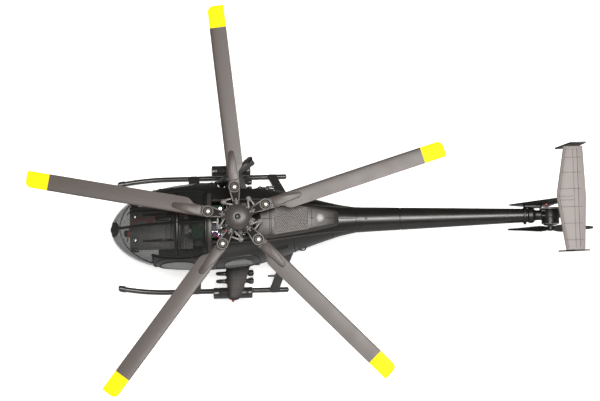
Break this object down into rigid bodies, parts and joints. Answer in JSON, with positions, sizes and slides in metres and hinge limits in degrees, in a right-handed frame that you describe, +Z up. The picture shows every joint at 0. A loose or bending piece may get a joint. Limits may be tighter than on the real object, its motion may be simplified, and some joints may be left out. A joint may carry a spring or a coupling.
{
  "type": "remote control helicopter",
  "caption": "Scale model helicopter with an egg-shaped cabin, folding main rotor blades, slim tail boom, T-tail, skids and stub wings.",
  "frame": {"origin": "on the ground under the middle of the bounding box, the model standing on its skids", "axes": "+X from nose to tail, +Y to starboard, +Z up"},
  "size_m": [0.3806, 0.262, 0.1099],
  "materials": {
    "shell": "dark charcoal, satin to gloss, moulded",
    "canopy_clear": "clear smoked moulded plastic",
    "black_plastic": "black moulded plastic",
    "gear_black": "satin black plastic",
    "head_plastic": "dark grey glass-filled plastic, satin",
    "blade_grey": "warm grey satin plastic with a yellow tip band",
    "link_grey": "light grey plastic links",
    "mesh_grey": "diamond mesh moulding",
    "stabilizer_grey": "pale warm grey satin plastic with rivet rows",
    "lens_white": "white translucent plastic",
    "steel": "turned steel",
    "motor_steel": "pressed steel can",
    "gear_white": "natural white nylon",
    "circuit_board": "green solder mask",
    "battery_wrap": "shrink-wrapped cell pack"
  },
  "bodies": {
    "airframe": {"fuselage_port": "shell", "fuselage_starboard": "shell", "canopy": "canopy_clear", "nose_cap": "black_plastic", "nose_lamp": "lens_white", "mast_fairing": "shell", "intake_screen": "mesh_grey", "beacon_lens": "lens_white", "main_frame": "black_plastic", "battery": "battery_wrap", "flight_board": "circuit_board", "main_motor": "motor_steel", "lower_bearing": "steel", "upper_bearing": "steel", "servo_port": "black_plastic", "servo_starboard": "black_plastic", "servo_rear": "black_plastic", "tail_boom": "shell", "tail_motor_mount": "black_plastic", "tail_motor": "motor_steel", "tail_fin": "black_plastic", "stabilizer": "stabilizer_grey", "end_plate_port": "black_plastic", "end_plate_starboard": "black_plastic", "skid_port": "gear_black", "skid_starboard": "gear_black", "leg_front_port": "gear_black", "leg_front_starboard": "gear_black", "leg_rear_port": "gear_black", "leg_rear_starboard": "gear_black", "stub_wing_port": "shell", "stub_wing_starboard": "shell", "rocket_pod_port": "black_plastic", "rocket_pod_starboard": "black_plastic", "missile_rack_port": "black_plastic", "missile_rack_starboard": "black_plastic"},
    "rotor_head": {"main_shaft": "steel", "main_gear": "gear_white", "rotor_hub": "head_plastic", "hub_cap": "head_plastic"},
    "pinion": {"motor_pinion": "steel"},
    "swash_lower": {"swash_fixed": "link_grey"},
    "swash_upper": {"swash_turning": "link_grey"},
    "servo_lever_port": {"servo_arm_port": "gear_white"},
    "servo_lever_starboard": {"servo_arm_starboard": "gear_white"},
    "servo_lever_rear": {"servo_arm_rear": "gear_white"},
    "tail_rotor_body": {"tail_rotor": "black_plastic"},
    "door_port_body": {"door_port": "shell"},
    "door_starboard_body": {"door_starboard": "shell"},
    "grip_1": {"blade_grip_1": "head_plastic"},
    "blade_body_1": {"blade_1": "blade_grey"},
    "grip_2": {"blade_grip_2": "head_plastic"},
    "blade_body_2": {"blade_2": "blade_grey"},
    "grip_3": {"blade_grip_3": "head_plastic"},
    "blade_body_3": {"blade_3": "blade_grey"},
    "grip_4": {"blade_grip_4": "head_plastic"},
    "blade_body_4": {"blade_4": "blade_grey"},
    "grip_5": {"blade_grip_5": "head_plastic"},
    "blade_body_5": {"blade_5": "blade_grey"}
  },
  "joints": [
    {"name": "main_rotor_spin", "type": "hinge", "parent": "airframe", "child": "rotor_head", "pos_m": [-0.04802, -0.01393, 0.102], "axis": [0, 0, 1], "continuous": true},
    {"name": "motor_pinion_spin", "type": "hinge", "parent": "airframe", "child": "pinion", "pos_m": [-0.06752, -0.01393, 0.0594], "axis": [0, 0, 1], "continuous": true},
    {"name": "swash_slide", "type": "slide", "parent": "airframe", "child": "swash_lower", "axis": [0, 0, 1], "range_m": [-0.0012, 0.0012]},
    {"name": "swash_turning_slide", "type": "slide", "parent": "rotor_head", "child": "swash_upper", "axis": [0, 0, 1], "range_m": [-0.0012, 0.0012]},
    {"name": "servo_port_turn", "type": "hinge", "parent": "airframe", "child": "servo_lever_port", "pos_m": [-0.04702, -0.02213, 0.07], "axis": [0, 1, 0], "range_deg": [-12.5, 12.5]},
    {"name": "servo_starboard_turn", "type": "hinge", "parent": "airframe", "child": "servo_lever_starboard", "pos_m": [-0.04702, -0.00573, 0.07], "axis": [0, 1, 0], "range_deg": [-12.5, 12.5]},
    {"name": "servo_rear_turn", "type": "hinge", "parent": "airframe", "child": "servo_lever_rear", "pos_m": [-0.03852, -0.00818, 0.07], "axis": [-1, 0, 0], "range_deg": [-12.5, 12.5]},
    {"name": "blade_pitch_1", "type": "hinge", "parent": "rotor_head", "child": "grip_1", "pos_m": [-0.04802, -0.01393, 0.102], "axis": [0.9171, 0.3987, 0], "range_deg": [-11, 11]},
    {"name": "blade_swing_1", "type": "hinge", "parent": "grip_1", "child": "blade_body_1", "pos_m": [-0.02931, -0.0058, 0.102], "axis": [0, 0, 1], "range_deg": [-13.5, 26.5]},
    {"name": "blade_pitch_2", "type": "hinge", "parent": "rotor_head", "child": "grip_2", "pos_m": [-0.04802, -0.01393, 0.102], "axis": [-0.0958, 0.9954, 0], "range_deg": [-11, 11]},
    {"name": "blade_swing_2", "type": "hinge", "parent": "grip_2", "child": "blade_body_2", "pos_m": [-0.04997, 0.00638, 0.102], "axis": [0, 0, 1], "range_deg": [-20.4, 19.6]},
    {"name": "blade_pitch_3", "type": "hinge", "parent": "rotor_head", "child": "grip_3", "pos_m": [-0.04802, -0.01393, 0.102], "axis": [-0.9763, 0.2164, 0], "range_deg": [-11, 11]},
    {"name": "blade_swing_3", "type": "hinge", "parent": "grip_3", "child": "blade_body_3", "pos_m": [-0.06793, -0.00951, 0.102], "axis": [0, 0, 1], "range_deg": [-21.5, 18.5]},
    {"name": "blade_pitch_4", "type": "hinge", "parent": "rotor_head", "child": "grip_4", "pos_m": [-0.04802, -0.01393, 0.102], "axis": [-0.5075, -0.8616, 0], "range_deg": [-11, 11]},
    {"name": "blade_swing_4", "type": "hinge", "parent": "grip_4", "child": "blade_body_4", "pos_m": [-0.05837, -0.03151, 0.102], "axis": [0, 0, 1], "range_deg": [-13, 27]},
    {"name": "blade_pitch_5", "type": "hinge", "parent": "rotor_head", "child": "grip_5", "pos_m": [-0.04802, -0.01393, 0.102], "axis": [0.6626, -0.749, 0], "range_deg": [-11, 11]},
    {"name": "blade_swing_5", "type": "hinge", "parent": "grip_5", "child": "blade_body_5", "pos_m": [-0.0345, -0.02921, 0.102], "axis": [0, 0, 1], "range_deg": [-22.9, 17.1]},
    {"name": "tail_rotor_spin", "type": "hinge", "parent": "airframe", "child": "tail_rotor_body", "pos_m": [0.16148, -0.02323, 0.0705], "axis": [0, 1, 0], "continuous": true},
    {"name": "door_port_swing", "type": "hinge", "parent": "airframe", "child": "door_port_body", "pos_m": [-0.06602, -0.04369, 0.0535], "axis": [0, 0, -1], "range_deg": [0, 70]},
    {"name": "door_starboard_swing", "type": "hinge", "parent": "airframe", "child": "door_starboard_body", "pos_m": [-0.06602, 0.01583, 0.0535], "axis": [0, 0, 1], "range_deg": [-42, 28]}
  ],
  "couplings": [
    {"joint": "motor_pinion_spin", "follows": "main_rotor_spin", "ratio": -6},
    {"joint": "swash_turning_slide", "follows": "swash_slide", "ratio": 1},
    {"joint": "servo_port_turn", "follows": "swash_slide", "rad_per_m": 173.91},
    {"joint": "servo_starboard_turn", "follows": "swash_slide", "rad_per_m": 173.91},
    {"joint": "servo_rear_turn", "follows": "swash_slide", "rad_per_m": 173.91},
    {"joint": "blade_pitch_1", "follows": "swash_slide", "rad_per_m": 156.25},
    {"joint": "blade_pitch_2", "follows": "swash_slide", "rad_per_m": 156.25},
    {"joint": "blade_pitch_3", "follows": "swash_slide", "rad_per_m": 156.25},
    {"joint": "blade_pitch_4", "follows": "swash_slide", "rad_per_m": 156.25},
    {"joint": "blade_pitch_5", "follows": "swash_slide", "rad_per_m": 156.25}
  ]
}
